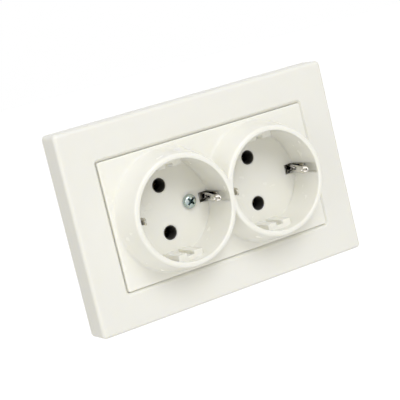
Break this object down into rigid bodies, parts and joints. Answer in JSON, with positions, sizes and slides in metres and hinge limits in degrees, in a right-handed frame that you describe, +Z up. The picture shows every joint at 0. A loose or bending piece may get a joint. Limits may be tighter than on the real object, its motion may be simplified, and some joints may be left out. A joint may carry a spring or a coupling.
{
  "type": "double wall socket outlet",
  "caption": "Rectangular flush wall socket with a flat frame and two round recessed wells, side earth clips, claws and screw terminals behind.",
  "frame": {"origin": "midway between the two fixing slots, in the plane of the wall", "axes": "+X right, +Z up, +Y into the wall, so the wells face -Y"},
  "size_m": [0.1216, 0.047, 0.0792],
  "materials": {
    "frame_white": "satin gloss moulding",
    "cover_white": "gloss moulding",
    "dark_moulding": "fine matt moulding",
    "zinc_plate": "zinc plated steel",
    "contact_brass": "stamped brass",
    "spring_metal": "nickel plated spring strip",
    "bright_screw": "bright zinc plated"
  },
  "bodies": {
    "socket": {"outer_frame": "frame_white", "front_cover": "cover_white", "support_plate": "zinc_plate", "contact_retainer": "dark_moulding", "base_housing": "dark_moulding", "rear_cover": "dark_moulding", "live_contact": "contact_brass", "neutral_contact": "contact_brass", "earth_bar": "contact_brass", "earth_bracket_left": "spring_metal", "earth_bracket_right": "spring_metal", "earth_rivets": "bright_screw", "base_screws": "bright_screw", "cover_nut": "zinc_plate"},
    "cover_screw": {"cover_screw": "bright_screw"},
    "live_left_screw": {"live_left_screw": "bright_screw"},
    "live_left_clamp": {"live_left_clamp": "zinc_plate"},
    "live_right_screw": {"live_right_screw": "bright_screw"},
    "live_right_clamp": {"live_right_clamp": "zinc_plate"},
    "neutral_left_screw": {"neutral_left_screw": "bright_screw"},
    "neutral_left_clamp": {"neutral_left_clamp": "zinc_plate"},
    "neutral_right_screw": {"neutral_right_screw": "bright_screw"},
    "neutral_right_clamp": {"neutral_right_clamp": "zinc_plate"},
    "earth_top_screw": {"earth_top_screw": "bright_screw"},
    "earth_top_clamp": {"earth_top_clamp": "zinc_plate"},
    "earth_bottom_screw": {"earth_bottom_screw": "bright_screw"},
    "earth_bottom_clamp": {"earth_bottom_clamp": "zinc_plate"},
    "claw_left": {"claw_left": "zinc_plate"},
    "claw_nut_left": {"claw_nut_left": "zinc_plate"},
    "claw_screw_left": {"claw_screw_left": "bright_screw"},
    "claw_right": {"claw_right": "zinc_plate"},
    "claw_nut_right": {"claw_nut_right": "zinc_plate"},
    "claw_screw_right": {"claw_screw_right": "bright_screw"}
  },
  "joints": [
    {"name": "cover_screw_turn", "type": "hinge", "parent": "socket", "child": "cover_screw", "pos_m": [-0.00961, -0.00553, 0], "axis": [0, 1, 0], "range_deg": [-3600, 0]},
    {"name": "live_left_screw_turn", "type": "hinge", "parent": "socket", "child": "live_left_screw", "pos_m": [-0.0105, 0.0166, 0.024], "axis": [0, 0, -1], "range_deg": [0, 1800]},
    {"name": "live_left_clamp_lift", "type": "slide", "parent": "socket", "child": "live_left_clamp", "axis": [0, 0, 1], "range_m": [0, 0.003]},
    {"name": "live_right_screw_turn", "type": "hinge", "parent": "socket", "child": "live_right_screw", "pos_m": [0.0105, 0.0166, 0.024], "axis": [0, 0, -1], "range_deg": [0, 1800]},
    {"name": "live_right_clamp_lift", "type": "slide", "parent": "socket", "child": "live_right_clamp", "axis": [0, 0, 1], "range_m": [0, 0.003]},
    {"name": "neutral_left_screw_turn", "type": "hinge", "parent": "socket", "child": "neutral_left_screw", "pos_m": [-0.0105, 0.0166, -0.024], "axis": [0, 0, 1], "range_deg": [0, 1800]},
    {"name": "neutral_left_clamp_lift", "type": "slide", "parent": "socket", "child": "neutral_left_clamp", "axis": [0, 0, -1], "range_m": [0, 0.003]},
    {"name": "neutral_right_screw_turn", "type": "hinge", "parent": "socket", "child": "neutral_right_screw", "pos_m": [0.0105, 0.0166, -0.024], "axis": [0, 0, 1], "range_deg": [0, 1800]},
    {"name": "neutral_right_clamp_lift", "type": "slide", "parent": "socket", "child": "neutral_right_clamp", "axis": [0, 0, -1], "range_m": [0, 0.003]},
    {"name": "earth_top_screw_turn", "type": "hinge", "parent": "socket", "child": "earth_top_screw", "pos_m": [0, 0.0166, 0.024], "axis": [0, 0, -1], "range_deg": [0, 1800]},
    {"name": "earth_top_clamp_lift", "type": "slide", "parent": "socket", "child": "earth_top_clamp", "axis": [0, 0, 1], "range_m": [0, 0.003]},
    {"name": "earth_bottom_screw_turn", "type": "hinge", "parent": "socket", "child": "earth_bottom_screw", "pos_m": [0, 0.0166, -0.024], "axis": [0, 0, 1], "range_deg": [0, 1800]},
    {"name": "earth_bottom_clamp_lift", "type": "slide", "parent": "socket", "child": "earth_bottom_clamp", "axis": [0, 0, -1], "range_m": [0, 0.003]},
    {"name": "claw_screw_left_turn", "type": "hinge", "parent": "socket", "child": "claw_screw_left", "pos_m": [-0.0245, -0.001, 0], "axis": [0, 1, 0], "range_deg": [0, 4200]},
    {"name": "claw_nut_left_draw", "type": "slide", "parent": "socket", "child": "claw_nut_left", "axis": [0, -1, 0], "range_m": [0, 0.007]},
    {"name": "claw_left_swing", "type": "hinge", "parent": "socket", "child": "claw_left", "pos_m": [-0.0272, 0.0022, 0], "axis": [0, 0, 1], "range_deg": [0, 22]},
    {"name": "claw_screw_right_turn", "type": "hinge", "parent": "socket", "child": "claw_screw_right", "pos_m": [0.0245, -0.001, 0], "axis": [0, 1, 0], "range_deg": [0, 4200]},
    {"name": "claw_nut_right_draw", "type": "slide", "parent": "socket", "child": "claw_nut_right", "axis": [0, -1, 0], "range_m": [0, 0.007]},
    {"name": "claw_right_swing", "type": "hinge", "parent": "socket", "child": "claw_right", "pos_m": [0.0272, 0.0022, 0], "axis": [0, 0, -1], "range_deg": [0, 22]}
  ],
  "couplings": [
    {"joint": "live_left_screw_turn", "follows": "live_left_clamp_lift", "rad_per_m": 10472},
    {"joint": "live_right_screw_turn", "follows": "live_right_clamp_lift", "rad_per_m": 10472},
    {"joint": "neutral_left_screw_turn", "follows": "neutral_left_clamp_lift", "rad_per_m": 10472},
    {"joint": "neutral_right_screw_turn", "follows": "neutral_right_clamp_lift", "rad_per_m": 10472},
    {"joint": "earth_top_screw_turn", "follows": "earth_top_clamp_lift", "rad_per_m": 10472},
    {"joint": "earth_bottom_screw_turn", "follows": "earth_bottom_clamp_lift", "rad_per_m": 10472},
    {"joint": "claw_screw_left_turn", "follows": "claw_nut_left_draw", "rad_per_m": 10472},
    {"joint": "claw_left_swing", "follows": "claw_nut_left_draw", "rad_per_m": 54.853},
    {"joint": "claw_screw_right_turn", "follows": "claw_nut_right_draw", "rad_per_m": 10472},
    {"joint": "claw_right_swing", "follows": "claw_nut_right_draw", "rad_per_m": 54.853}
  ]
}
